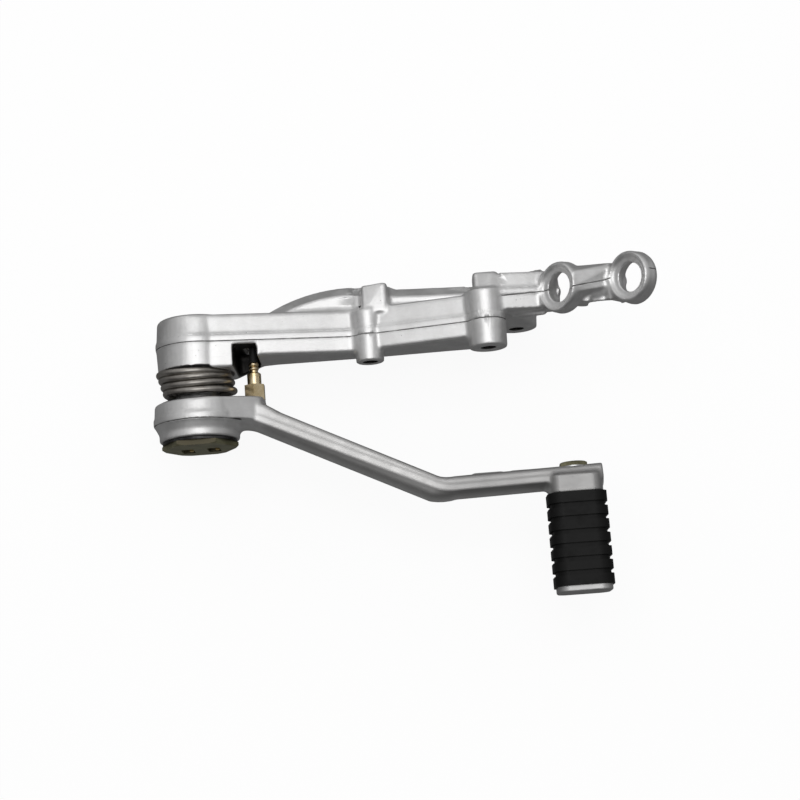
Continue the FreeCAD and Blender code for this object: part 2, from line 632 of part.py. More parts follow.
def bracket_hollows():
    """What is cut out of the casting."""
    slot_side = "(buffer_radius + stop_clearance)"
    lowest = "pivot_z - stud_reach * sin(travel)"
    front_x = f"{STUD_X} + bead_radius + stop_clearance + 0.1"
    return [
        rod("pivot_bore", "bolt_radius + bolt_clearance", "pivot_x", "pivot_boss_face_y - 1",
            "pivot_boss_back_y", "pivot_z"),
        rod("nut_well", "nut_well_radius", "pivot_x", WELL_FLOOR, "pivot_boss_back_y + 1", "pivot_z"),
        block("stop_window", (f"{front_x} - window_length", "stop_block_face_y - 4",
                              f"{lowest} - bead_radius - stop_clearance - 0.1"),
              (front_x, "window_depth_y", "neck_top_z + 8")),
        block("stop_slot",
              (f"{front_x} - 2 * {slot_side} - 2.4", "window_depth_y - 1", f"{lowest} - {slot_side}"),
              (front_x, f"{BUFFER_END} + 0.6", f"pivot_z + {slot_side}")),
        rod("leg_hole", "wire_diameter / 2 + leg_clearance", LEG_X, "pivot_boss_face_y - 1",
            "pivot_boss_face_y + leg_depth + 0.5", LEG_Z),
        tapped_hole("rear_thread", "rear_boss_x", "rear_boss_z", "0", "thread_depth"),
        tapped_hole("front_thread", "0", "0", "0", "thread_depth"),
        tapped_hole("low_thread", "low_boss_x", "low_boss_z", "low_boss_face_y", "low_thread_depth"),
    ]


def hanger_bracket():
    """The whole casting."""
    rear_eye, rear_hollow = eye("rear_eye", "eye_rear_x", "eye_rear_z", "eye_rear_radius")
    front_eye, front_hollow = eye("front_eye", "eye_front_x", "eye_front_z", "eye_front_radius")
    solid = fuse("bracket_solid", *plate(), *pivot_boss(), *stop_block(), *bosses(), *gusset(),
                 *forward_arm(), rear_eye, front_eye)
    return cut("hanger_bracket", solid, rear_hollow, front_hollow, *bracket_hollows())


# Pivot pieces

def pivot_bolt():
    """The bolt that the pedal hangs on: a wide thin hexagonal head outboard, a thread inboard."""
    shank = turned("pivot_shank", [
        ("0", WASHER_END),
        ("bolt_radius", WASHER_END),
        ("bolt_radius", "pivot_boss_back_y - 1.8"),
        ("bolt_radius - 1", "pivot_boss_back_y - 0.8"),
        ("0", "pivot_boss_back_y - 0.8"),
    ], "pivot_x", "0", "pivot_z")
    head = hexagon("pivot_head_hex", "head_across_flats", "pivot_x", HEAD_END, WASHER_END, "pivot_z")
    rim = turned("pivot_head_rim", [
        ("0", f"{HEAD_END}"),
        ("head_across_flats / 2 + 1", f"{HEAD_END}"),
        ("head_across_flats / 2 / cos(30) + 0.02", f"{HEAD_END} + 0.8"),
        ("head_across_flats / 2 / cos(30) + 0.02", WASHER_END),
        ("0", WASHER_END),
    ], "pivot_x", "0", "pivot_z")
    head = DOC.addObject("Part::MultiCommon", "pivot_head")
    head.Shapes = [DOC.getObject("pivot_head_hex"), rim]
    recesses = []
    for name, side in (("rear_recess", "-"), ("front_recess", "+")):
        outline = rounded_rectangle("recess_width", "recess_height", "1.2", f"pivot_x {side} recess_offset",
                                    "pivot_z - 3")
        recesses.append(upright_slab(name, outline, f"{HEAD_END} - 1", "recess_depth + 1", True))
    return cut("pivot_bolt", fuse("pivot_bolt_blank", shank, head), *recesses)


def head_lock_pins():
    """Two brass pins, one in each recess of the bolt's head."""
    pins = []
    for name, side in (("rear_pin", "-"), ("front_pin", "+")):
        pins.append(turned(name, [
            ("0", f"{HEAD_END} + recess_depth"),
            ("pin_radius", f"{HEAD_END} + recess_depth"),
            ("pin_radius", f"{HEAD_END} + 0.8", "-pin_radius * 1.2"),
            ("0", f"{HEAD_END} + 0.2"),
        ], f"pivot_x {side} recess_offset + 1.2", "0", "pivot_z - 6"))
    return fuse("head_lock_pins", *pins)


def pivot_sleeve():
    """The hard sleeve between the bracket and the head, on which the bushes turn."""
    return ring("pivot_sleeve", "bolt_radius + bolt_clearance", "sleeve_radius", SLEEVE_END,
                "pivot_boss_face_y")


def retaining_washer():
    """The thin washer that keeps the hub on."""
    return ring("retaining_washer", "bolt_radius + bolt_clearance", "washer_radius", WASHER_END, SLEEVE_END)


def bolt_nut():
    """The nut on the bolt's inboard end."""
    start = f"{WELL_FLOOR} + nut_washer_thickness"
    end = f"{start} + nut_height"
    prism = hexagon("bolt_nut_hex", "nut_across_flats", "pivot_x", start, end, "pivot_z")
    bore = rod("bolt_nut_bore", "bolt_radius", "pivot_x", f"{start} - 1", f"{end} + 1", "pivot_z")
    return cut("bolt_nut", prism, bore)


def nut_washer():
    """The washer under that nut."""
    return ring("bolt_lock_washer", "bolt_radius + bolt_clearance", "nut_across_flats / 2 + 0.6", WELL_FLOOR,
                f"{WELL_FLOOR} + nut_washer_thickness")


def bushes_and_seals():
    """Two bushes pressed into the hub, each with a dust seal outside it."""
    inner = "sleeve_radius + running_clearance"
    seal = "sleeve_radius + 2 * running_clearance"
    return [
        ring("inboard_seal", seal, BUSH_RADIUS, f"{HUB_FACE} - seal_length", HUB_FACE),
        ring("inboard_bush", inner, BUSH_RADIUS, f"{HUB_FACE} - seal_length - bush_length",
             f"{HUB_FACE} - seal_length"),
        ring("outboard_bush", inner, BUSH_RADIUS, f"{HUB_END} + seal_length",
             f"{HUB_END} + seal_length + bush_length"),
        ring("outboard_seal", seal, BUSH_RADIUS, HUB_END, f"{HUB_END} + seal_length"),
    ]


def spring_seat_washer():
    """The flat ring that the spring's outboard end coil lies on, with a hole for its leg."""
    flat = ring("spring_seat_ring", "spring_radius - 1.9", "spring_radius + 1.5", HUB_FACE,
                f"{HUB_FACE} + spring_seat_thickness")
    hole = rod("spring_seat_hole", "wire_diameter / 2 + leg_clearance", LEG_X, f"{HUB_FACE} - 1",
               f"{HUB_FACE} + spring_seat_thickness + 1", LEG_Z)
    return cut("spring_seat_washer", flat, hole)


def return_spring():
    """A torsion spring of round wire, with a leg along the pivot at each end."""
    wire = mm("wire_diameter") / 2
    radius = mm("spring_radius")
    start_y = mm("pivot_boss_face_y - spring_play") - wire
    length = mm("spring_gap - 2 * spring_play - wire_diameter - spring_seat_thickness")
    pitch = length / mm("spring_turns")
    coil = Part.makeHelix(pitch, length, radius)
    section = Part.Wire(Part.makeCircle(wire, Vector(radius, 0, 0), Vector(0, 1, 0)))
    solid = Part.Wire(coil).makePipeShell([section], True, True)
    legs = []
    reach = mm("spring_play + leg_depth") + wire
    long_reach = reach + mm("spring_seat_thickness")
    angle = 2 * math.pi * mm("spring_turns")
    end = Vector(radius * math.cos(angle), radius * math.sin(angle), length)
    for corner, direction, depth in ((Vector(radius, 0, 0), Vector(0, 0, -1), reach),
                                     (end, Vector(0, 0, 1), long_reach)):
        legs.append(Part.makeCylinder(wire, depth, corner, direction))
        legs.append(Part.makeSphere(wire, corner))
    shape = solid.fuse(legs).removeSplitter()
    spring = DOC.addObject("Part::Feature", "return_spring")
    spring.Shape = shape
    turn = Rotation(Vector(1, 0, 0), 90).multiply(Rotation(Vector(0, 0, 1), mm("leg_angle")))
    spring.Placement = Placement(Vector(mm("pivot_x"), start_y, mm("pivot_z")), turn)
    return spring


# Pedal, one casting

def hub():
    """The drum round the pivot, drafted inboard, with a raised strip at the parting line."""
    r = "hub_radius"
    spigot_start = f"{HUB_END} + hub_spigot_length"
    strip_start = f"{HUB_SEAM} + ledge_width"
    return turned("hub", [
        ("0", HUB_FACE),
        ("0", HUB_END),
        ("hub_spigot_radius - 0.6", HUB_END, "0.6"),
        ("hub_spigot_radius", f"{HUB_END} + 0.6"),
        ("hub_spigot_radius", spigot_start),
        (f"{r} - 0.1", HUB_SEAM),
        (f"{r} + 0.3", HUB_SEAM),
        (f"{r} + 0.3", strip_start),
        (f"{r} - 0.1", strip_start),
        (f"{r} - 0.5", f"{HUB_FACE} - 1.2", "1.2"),
        (f"{r} - 1.7", HUB_FACE),
    ], "pivot_x", "0", "pivot_z")


def nose():
    """The front of the hub that the limit stud stands on."""
    near = ("pivot_x", "pivot_z", "hub_radius - 0.5")
    far = (f"{STUD_X} - 2.7", "pivot_z", "nose_radius")
    body = tangent_link("nose", near, far, HUB_SEAM, "hub_seam_depth", True, "draft")
    return round_edges("nose_rim", body, "1", lies_at("y", mm(HUB_FACE)))


def lever_path():
    """The lever's parting line from above: out of the hub, slanting outboard, then forward to the peg."""
    seam = mm(HUB_SEAM)
    start = Vector(mm("pivot_x + 8"), seam, 0)
    rear = Vector(mm("rear_bend_x"), seam, 0)
    front = Vector(mm("front_bend_x"), mm("front_bend_y"), 0)
    end = Vector(mm("lever_end_x"), mm("lever_end_y"), 0)
    edges = []
    last = start
    for corner, after, radius in ((rear, front, mm("rear_bend_radius")),
                                  (front, end, mm("front_bend_radius"))):
        before = (last - corner).normalize()
        onward = (after - corner).normalize()
        half = before.getAngle(onward) / 2
        leave = corner + before * (radius / math.tan(half))
        join = corner + onward * (radius / math.tan(half))
        middle = corner + (before + onward).normalize() * (radius / math.sin(half) - radius)
        edges += [Part.LineSegment(last, leave).toShape(), Part.Arc(leave, middle, join).toShape()]
        last = join
    edges.append(Part.LineSegment(last, end).toShape())
    return Part.Wire(edges)


def lever_section(place, way, thick, bulge):
    """The lever cut across: a flat inboard side with rounded edges, a raised strip and a rounded back."""
    half, edge = mm("lever_height") / 2, mm("lever_edge_radius")
    step, strip = mm("lever_step"), mm("ledge_width")

    def at(inboard, up):
        return place + Vector(-way.y, way.x, 0) * inboard + Vector(0, 0, up)

    def corner(up):
        side = math.copysign(1, up)
        turn = edge * (1 - math.sqrt(0.5))
        return Part.Arc(at(thick - edge, up - step * side), at(thick - turn, up - (step + turn) * side),
                        at(thick, up - (step + edge) * side)).toShape()

    def straight(*places):
        return [Part.LineSegment(at(*a), at(*b)).toShape() for a, b in zip(places, places[1:])]

    outline = [
        Part.Arc(at(0, step - half), at(-bulge, 0), at(0, half - step)).toShape(),
        *straight((0, half - step), (0, half), (strip, half), (strip, half - step)),
        *straight((strip, half - step), (thick - edge, half - step)),
        corner(half),
        *straight((thick, half - step - edge), (thick, edge + step - half)),
        corner(-half),
        *straight((thick - edge, step - half), (strip, step - half), (strip, -half), (0, -half)),
        *straight((0, -half), (0, step - half)),
    ]
    return Part.Wire(outline)


def lever():
    """The cranked lever, thickest outboard of its parting line just behind the front bend."""
    root, waist, straight = [(mm(f"{part}_thickness"), mm(f"{part}_bulge"))
                             for part in ("root", "waist", "lever")]
    sections = []
    for edge, first, last in zip(lever_path().OrderedEdges, (root, root, root, waist, straight),
                                 (root, root, waist, straight, straight)):
        low, high = edge.ParameterRange
        steps = 1 if isinstance(edge.Curve, Part.Line) else 4
        for step in range(0 if not sections else 1, steps + 1):
            share = step / steps
            parameter = low + (high - low) * share
            sizes = [a + (b - a) * share for a, b in zip(first, last)]
            way = edge.tangentAt(parameter) * (1 if edge.tangentAt(parameter).x > 0 else -1)
            sections.append(lever_section(edge.valueAt(parameter), way, *sizes))
    feature = DOC.addObject("Part::Feature", "lever")
    feature.Shape = Part.makeLoft(sections, True, True)
    feature.Placement = Placement(Vector(0, 0, mm("pivot_z")), Rotation())
    return feature


def peg_seat():
    """The block under the peg at the lever's front end."""
    outline = rounded_rectangle("seat_length", "seat_height", "5", "peg_x", "peg_z")
    body = upright_slab("peg_seat", outline, "lever_end_y + 2.5", "lever_end_y + 2.5 - seat_face_y")
    return body


def blank_marks():
    """Three low raised fields on the lever's inboard edge, left bare."""
    fields = []
    face_y = "lever_end_y + lever_thickness"
    for name, rear, front in (("rear_mark", "-11", "2"), ("middle_mark", "6", "14"),
                              ("front_mark", "14.8", "22.6")):
        fields.append(block(name, (rear, f"{face_y} - 2", "pivot_z - 3.6"),
                            (front, f"{face_y} + mark_height - 0.9", "pivot_z + 3.6")))
    return fields


def brake_pedal():
    """The pedal's casting with its bores."""
    solid = fuse("pedal_solid", hub(), nose(), lever(), peg_seat(), *blank_marks())
    return cut(
        "brake_pedal", solid,
        rod("hub_bore", BUSH_RADIUS, "pivot_x", f"{HUB_END} - 1", f"{HUB_FACE} + 1", "pivot_z"),
        rod("stud_hole", "stud_stem_radius", STUD_X, f"{HUB_FACE} - stud_stem_length - 0.5",
            f"{HUB_FACE} + 1", "pivot_z"),
        rod("pedal_leg_hole", "wire_diameter / 2 + leg_clearance", LEG_X, f"{HUB_FACE} - leg_depth - 0.5",
            f"{HUB_FACE} + 1", LEG_Z),
        rod("peg_bolt_hole", "peg_bolt_radius + 0.2", "peg_x", "seat_face_y - 1", "lever_end_y + 12",
            "peg_z"),
        rod("peg_spot_face", "spot_face_radius", "peg_x", SPOT_FACE, f"{SPOT_FACE} + 5", "peg_z"),
    )


# Limit stud

def limit_stud():
    """The stud that limits the travel: stem, hexagon, round part, neck, two beads and the buffer's core."""
    hex_end = f"{HUB_FACE} + stud_hex_length"
    barrel_end = f"{hex_end} + stud_barrel_length"
    neck_end = f"{barrel_end} + stud_neck_length"
    bead_arc = "(bead_length * bead_length / 4 + 0.36) / 1.2"
    profile = [
        ("0", f"{HUB_FACE} - stud_stem_length"),
        ("stud_stem_radius", f"{HUB_FACE} - stud_stem_length"),
        ("stud_stem_radius", f"{HUB_FACE} + 0.1"),
        ("stud_barrel_radius", f"{hex_end} - 0.1"),
        ("stud_barrel_radius", f"{barrel_end} - 0.7"),
        ("stud_barrel_radius - 0.8", barrel_end),
        ("stud_neck_radius", barrel_end),
        ("stud_neck_radius", neck_end),
        ("bead_radius - 0.6", neck_end, bead_arc),
        ("bead_radius - 0.6", f"{neck_end} + bead_length", bead_arc),
        ("bead_radius - 0.6", f"{neck_end} + 2 * bead_length"),
        ("buffer_core_radius", BUFFER_START),
        ("buffer_core_radius", f"{BUFFER_END} - buffer_tip"),
        ("0", f"{BUFFER_END} - buffer_tip"),
    ]
    round_part = turned("limit_stud_round", profile, STUD_X, "0", "pivot_z")
    prism = hexagon("limit_stud_hex", "stud_across_flats", STUD_X, HUB_FACE, hex_end, "pivot_z", True)
    return fuse("limit_stud", prism, round_part)


def stud_buffer():
    """The black sleeve over the stud's tip."""
    return turned("stud_buffer", [
        ("buffer_core_radius", BUFFER_START),
        ("buffer_radius", BUFFER_START),
        ("buffer_radius", f"{BUFFER_END} - 0.6", "0.6"),
        ("buffer_radius - 0.6", BUFFER_END),
        ("0", BUFFER_END),
        ("0", f"{BUFFER_END} - buffer_tip"),
        ("buffer_core_radius", f"{BUFFER_END} - buffer_tip"),
    ], STUD_X, "0", "pivot_z")


# Toe peg

RUBBER_END = "seat_face_y - rubber_length"


def toe_peg():
    """The metal peg: a rounded bar with an end flange, tapped for its bolt."""
    outline = rounded_rectangle("core_width", "core_height", "core_corner", "peg_x", "peg_z")
    bar = upright_slab("peg_bar", outline, "seat_face_y", "rubber_length + 1")
    outline = rounded_rectangle("flange_width", "flange_height", "rubber_corner - 1", "peg_x", "peg_z")
    flange = upright_slab("peg_flange", outline, RUBBER_END, "flange_thickness")
    end_y = mm(f"{RUBBER_END} - flange_thickness")
    flange = round_edges("peg_flange_rim", flange, "flange_rounding", lies_at("y", end_y))
    bore = rod("peg_thread", "peg_bolt_radius", "peg_x", "seat_face_y - 20", "seat_face_y + 1", "peg_z")
    return cut("toe_peg", fuse("peg_blank", bar, flange), bore)


def peg_rubber():
    """The rubber sleeve with ribs all round."""
    body = new_body("peg_rubber")
    sketch = sketch_in(body, "XZ_Plane", "-(seat_face_y)")
    draw(sketch, rounded_rectangle("rubber_width", "rubber_height", "rubber_corner", "peg_x", "peg_z"))
    draw(sketch, rounded_rectangle("core_width", "core_height", "core_corner", "peg_x", "peg_z"))
    pad(body, sketch, "rubber_length")
    first = "seat_face_y - (rubber_length - rib_pitch * (groove_count - 1) - groove_width) / 2"
    ring_sketch = sketch_in(body, "XZ_Plane", f"-({first})")
    draw(ring_sketch, rounded_rectangle("rubber_width + 4", "rubber_height + 4", "rubber_corner + 2",
                                        "peg_x",
                                        "peg_z"))
    draw(ring_sketch, rounded_rectangle("rubber_width - 2 * groove_depth",
                                        "rubber_height - 2 * groove_depth",
                                        "rubber_corner - groove_depth", "peg_x", "peg_z"))
    groove = body.newObject("PartDesign::Pocket", "peg_groove")
    groove.Profile = ring_sketch
    groove.Reversed = True
    bind(groove, Length="groove_width")
    pattern = body.newObject("PartDesign::LinearPattern", "peg_grooves")
    pattern.Originals = [groove]
    pattern.Direction = (ring_sketch, ["N_Axis"])
    bind(pattern, Length="rib_pitch * (groove_count - 1)")
    pattern.Occurrences = round(mm("groove_count"))
    body.Tip = pattern
    return body


def peg_bolt():
    """The bolt that draws the peg against its seat."""
    head_start = f"{SPOT_FACE} + peg_washer_thickness"
    shank = rod("peg_shank", "peg_bolt_radius", "peg_x", f"{head_start} - peg_bolt_length", head_start,
                "peg_z")
    head = hexagon("peg_bolt_head_hex", "peg_bolt_flats", "peg_x", head_start,
                   f"{head_start} + peg_bolt_head", "peg_z", True)
    cap = turned("peg_bolt_cap", [
        ("0", head_start),
        ("peg_bolt_flats / 2 / cos(30) + 0.02", head_start),
        ("peg_bolt_flats / 2 / cos(30) + 0.02", f"{head_start} + peg_bolt_head - 0.7"),
        ("peg_bolt_flats / 2 - 0.3", f"{head_start} + peg_bolt_head"),
        ("0", f"{head_start} + peg_bolt_head"),
    ], "peg_x", "0", "peg_z")
    head_solid = DOC.addObject("Part::MultiCommon", "peg_bolt_head_solid")
    head_solid.Shapes = [head, cap]
    return fuse("peg_bolt", shank, head_solid)


def peg_spring_washer():
    """The washer under the peg bolt's head."""
    return ring("peg_spring_washer", "peg_bolt_radius + 0.2", "peg_washer_radius", SPOT_FACE,
                f"{SPOT_FACE} + peg_washer_thickness", "peg_x", "peg_z")


# Building, checking and writing

def build():
    """Every separate piece of the object."""
    return [
        hanger_bracket(), pivot_bolt(), head_lock_pins(), pivot_sleeve(), retaining_washer(), bolt_nut(),
        nut_washer(), *bushes_and_seals(), spring_seat_washer(), return_spring(), brake_pedal(),
        limit_stud(), stud_buffer(), toe_peg(), peg_rubber(), peg_bolt(), peg_spring_washer(),
    ]


def check(pieces):
    """Stops if anything failed to build."""
    broken = [item.Name for item in DOC.Objects if "Invalid" in item.State or "Error" in item.State]
    broken += [piece.Label for piece in pieces if piece.Shape.isNull() or not piece.Shape.isValid()]
    if broken:
        raise SystemExit(f"these did not build: {sorted(set(broken))}")


def write(pieces):
    """One STEP file for each piece."""
    os.makedirs("parts", exist_ok=True)
    for piece in pieces:
        piece.Shape.exportStep(f"parts/{piece.Label}.step")
        print(piece.Label, len(piece.Shape.Solids), "solid,", round(piece.Shape.Volume / 1000, 2), "cm3")


fill_sheet()
PIECES = build()
DOC.recompute()
check(PIECES)
write(PIECES)
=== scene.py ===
# %% [markdown]
# # A motorbike's brake pedal on its hanger bracket
# The measured solids arrive as a fixed frame. This lesson dresses them: castings get their soft corners and
# parting lines, the spring its crooked coils, and every piece a finish of its own. Lengths are in metres, X points
# forward along the bike, Y inboard and Z up.

# %% Load the frame
import math

import bpy
from mathutils import Matrix, Vector


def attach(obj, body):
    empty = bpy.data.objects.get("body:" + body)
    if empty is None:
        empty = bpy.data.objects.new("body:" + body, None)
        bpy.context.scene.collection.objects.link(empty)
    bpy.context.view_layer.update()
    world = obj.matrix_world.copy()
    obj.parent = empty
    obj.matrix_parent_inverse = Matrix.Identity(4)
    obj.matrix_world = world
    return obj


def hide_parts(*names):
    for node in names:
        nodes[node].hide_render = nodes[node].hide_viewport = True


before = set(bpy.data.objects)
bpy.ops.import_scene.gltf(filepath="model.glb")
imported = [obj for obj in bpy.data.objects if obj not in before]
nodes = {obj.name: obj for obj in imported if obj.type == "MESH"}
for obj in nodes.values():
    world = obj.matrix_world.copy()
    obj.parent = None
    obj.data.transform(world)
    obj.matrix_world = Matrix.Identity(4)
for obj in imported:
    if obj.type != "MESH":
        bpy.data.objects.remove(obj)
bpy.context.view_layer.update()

MM = 0.001

# %% [markdown]
# ## Places that many steps share
# The pivot, the eyes and the parting planes are named once, so that a piece and its finish agree on them. The eyes
# are the two round ends of the bracket's arm, and their bores lean back by 50 degrees.

# %% Places on the object
pivot = Vector((-133.5, 0, -14)) * MM
eye_centres = [Vector((34.6, 23.2, 9)) * MM, Vector((64.9, 23.2, 21)) * MM]
eye_tilt = math.radians(50)
eye_axis = Vector((-math.sin(eye_tilt), 0, math.cos(eye_tilt)))
print(len(nodes), "nodes:", ", ".join(sorted(nodes)))

# %% [markdown]
# A parting line is where the two halves of a casting's mould met. It is given by two points seen from above: it runs
# straight between them and only there.

# %% Parting lines, as (from X, its Y, to X, its Y) in millimetres
plate_line = (-160, 12.3, 10, 12.3)
arm_line = (7, 22.3, 30, 23.6)
link_line = (37.2, 20.6, 56, 24.2)
eye_line = (70.5, 23.4, 80, 23.4)
bracket_lines = [plate_line, arm_line, link_line, eye_line]
hub_line = (-160, -23.1, -113, -23.1)
strip_lines = [(-160, 15.4, 8, 15.4), (9, 25.4, 25, 26.4)]
print(len(bracket_lines) + 1, "parting lines and the edges of", len(strip_lines), "raised strips")


# %% [markdown]
# ## Writing materials as sums
# A material is a small circuit of nodes. Wrapping a socket in a class that knows plus, minus and times lets a finish
# be written as an ordinary formula, which is easier to read and to change than a page of links.

# %% A socket that can be added and multiplied
class Signal:
    """One value that varies over a surface. Its sums become nodes of its own circuit."""

    def __init__(self, circuit, socket):
        self.circuit, self.socket = circuit, socket

    def maths(self, operation, *others, clamp=False):
        """A Math node that works on this value and the others."""
        settings = {"operation": operation, "use_clamp": clamp}
        return self.circuit.node("ShaderNodeMath", settings, [self, *others])

    def __add__(self, other):
        return self.maths("ADD", other)

    def __sub__(self, other):
        return self.maths("SUBTRACT", other)

    def __rsub__(self, other):
        return self.circuit.node("ShaderNodeMath", {"operation": "SUBTRACT"}, [other, self])

    def __mul__(self, other):
        return self.maths("MULTIPLY", other)

    def __pow__(self, other):
        return self.maths("POWER", other)

    def __abs__(self):
        return self.maths("ABSOLUTE")

    def limited(self):
        """The same value, kept between 0 and 1."""
        return self.maths("ADD", 0.0, clamp=True)

    def between(self, low, high, least=0.0, most=1.0):
        """least below low, most above high and a soft step between them."""
        values = {"Value": self, "From Min": low, "From Max": high, "To Min": least, "To Max": most}
        return self.circuit.node("ShaderNodeMapRange", {"interpolation_type": "SMOOTHSTEP"}, values)

    __radd__ = __add__
    __rmul__ = __mul__


print("a Signal can be added, subtracted, multiplied, raised to a power and limited")


# %% [markdown]
# One method makes any node: its settings first, then the values or links of its sockets. The materials and the
# studio's light are both circuits, so they share it.

# %% A circuit with one way to add a node
class Circuit:
    """A tree of nodes."""

    def __init__(self, tree):
        self.tree = tree

    def connect(self, value, socket):
        """Links a signal to a socket, or sets a plain value on it."""
        if isinstance(value, Signal):
            self.tree.links.new(value.socket, socket)
        elif value is not None:
            socket.default_value = value

    def node(self, kind, settings, values, output=0):
        """A new node, as the signal of one of its outputs."""
        made = self.tree.nodes.new(kind)
        for name, value in settings.items():
            setattr(made, name, value)
        for key, value in values.items() if isinstance(values, dict) else enumerate(values):
            self.connect(value, made.inputs[key])
        return Signal(self, made.outputs[output])


def grey(level, warmth=0.0):
    """A grey with a little warmth."""
    return (level * (1 + warmth), level, level * (1 - warmth), 1)


print("a warm grey is", [round(part, 2) for part in grey(0.5, 0.1)])


# %% [markdown]
# A finish starts from the object's own coordinates, so a pattern stays on its piece from every side. Noise and
# scattered cells are given by the size of their features in metres, which is easier to judge than a scale.

# %% A material made of patterns
class Finish(Circuit):
    """A Principled material whose inputs are written as formulas."""

    def __init__(self, name, **constants):
        self.material = bpy.data.materials.new(name)
        self.material.use_nodes = True
        super().__init__(self.material.node_tree)
        self.shader = self.tree.nodes["Principled BSDF"]
        self.finish(**constants)
        self.place = self.node("ShaderNodeTexCoord", {}, {}, "Object")

    def axis(self, name):
        """The place on the piece along X, Y or Z, in metres."""
        return self.node("ShaderNodeSeparateXYZ", {}, [self.place], name)

    def facing(self, name):
        """How far the surface faces along X, Y or Z."""
        normal = self.node("ShaderNodeNewGeometry", {}, {}, "Normal")
        return self.node("ShaderNodeSeparateXYZ", {}, [normal], name)

    def stretched(self, x=1.0, y=1.0, z=1.0):
        """The object's coordinates with a scale for each axis."""
        return self.node("ShaderNodeMapping", {}, {"Vector": self.place, "Scale": (x, y, z)})

    def cloud(self, size, detail=2.0, roughness=0.5, where=None, distortion=0.0):
        """Soft noise with features about size metres across."""
        values = {"Vector": where or self.place, "Scale": 1 / size, "Detail": detail, "Roughness": roughness,
                  "Distortion": distortion}
        return self.node("ShaderNodeTexNoise", {}, values)

    def cells(self, size):
        """Distance from scattered points about size metres apart."""
        return self.node("ShaderNodeTexVoronoi", {}, {"Vector": self.place, "Scale": 1 / size}, "Distance")

    def mix(self, factor, first, second):
        """One colour turning into another. The Mix node's colours are its sockets 6 and 7."""
        return self.node("ShaderNodeMix", {"data_type": "RGBA"}, {0: factor, 6: first, 7: second}, 2)

    def bump(self, height, depth, under=None):
        """Dents and ridges of depth metres where height goes from 0 to 1."""
        return self.node("ShaderNodeBump", {}, {"Height": height, "Distance": depth, "Normal": under})

    def finish(self, **inputs):
        """Sets the shader's inputs, with _ for a space in their names."""
        for socket, value in inputs.items():
            self.connect(value, self.shader.inputs[socket.replace("_", " ")])
        return self.material


def dress(name, material):
    """Gives a CAD node a finish. Its mesh stays as it is."""
    for slot in nodes[name].material_slots:
        slot.material = material
    print(f"{name} wears {material.name}")


# %% [markdown]
# ## Silver castings
# A die casting is bright but not polished. Its skin has cloudy patches, short flow lines, grains of dirt and a dark
# hairline where the two halves of the die met. Noise stretched along the flow gives the lines, and a narrow band
# along each parting line gives the hairline. The tapped holes and the limit stud's window are painted nearly black as
# painted shade, so these masks follow the holes' places.

# %% Masks that know places on a casting
def on_lines(skin, lines):
    """1 on the parting lines and 0 beside them."""
    x, y = skin.axis("X"), skin.axis("Y")
    mask = None
    for x0, y0, x1, y1 in lines:
        slope = (y1 - y0) / (x1 - x0)
        away = abs(y - x * slope - (y0 - slope * x0) * MM)
        near = 1 - away.between(0.10 * MM, 0.30 * MM)
        part = near * x.between(x0 * MM, (x0 + 1) * MM) * (1 - x.between((x1 - 1) * MM, x1 * MM))
        mask = part if mask is None else (mask + part).limited()
    return mask


def in_bore(skin, centre_x, centre_z, radius, near_y, far_y):
    """1 inside a round hole along Y."""
    x, y, z = skin.axis("X"), skin.axis("Y"), skin.axis("Z")
    reach = ((x - centre_x * MM) ** 2 + (z - centre_z * MM) ** 2) ** 0.5
    inside = 1 - reach.between((radius - 0.3) * MM, (radius + 0.1) * MM)
    return inside * y.between(near_y * MM, (near_y + 0.5) * MM) * (1 - y.between(far_y * MM, (far_y + 0.5) * MM))


def in_window(skin, x0, x1, y0, y1, top):
    """1 inside a box that is open below."""
    x, y, z = skin.axis("X"), skin.axis("Y"), skin.axis("Z")
    inside = x.between(x0 * MM, (x0 + 0.3) * MM) * (1 - x.between((x1 - 0.3) * MM, x1 * MM))
    inside = inside * y.between(y0 * MM, (y0 + 0.4) * MM) * (1 - y.between((y1 - 0.3) * MM, y1 * MM))
    return inside * (1 - z.between((top - 2) * MM, top * MM))


tapped_holes = [(0, 0, 3.8, 0.1, 26.5), (-53.7, -12, 3.8, 0.1, 26.5), (16, -38, 3.8, 16.5, 29)]
stop_window = (-115.8, -104.6, 0.6, 11.0, 1.5)
print("painted_shade in", len(tapped_holes), "tapped holes and in the window of the limit stud")
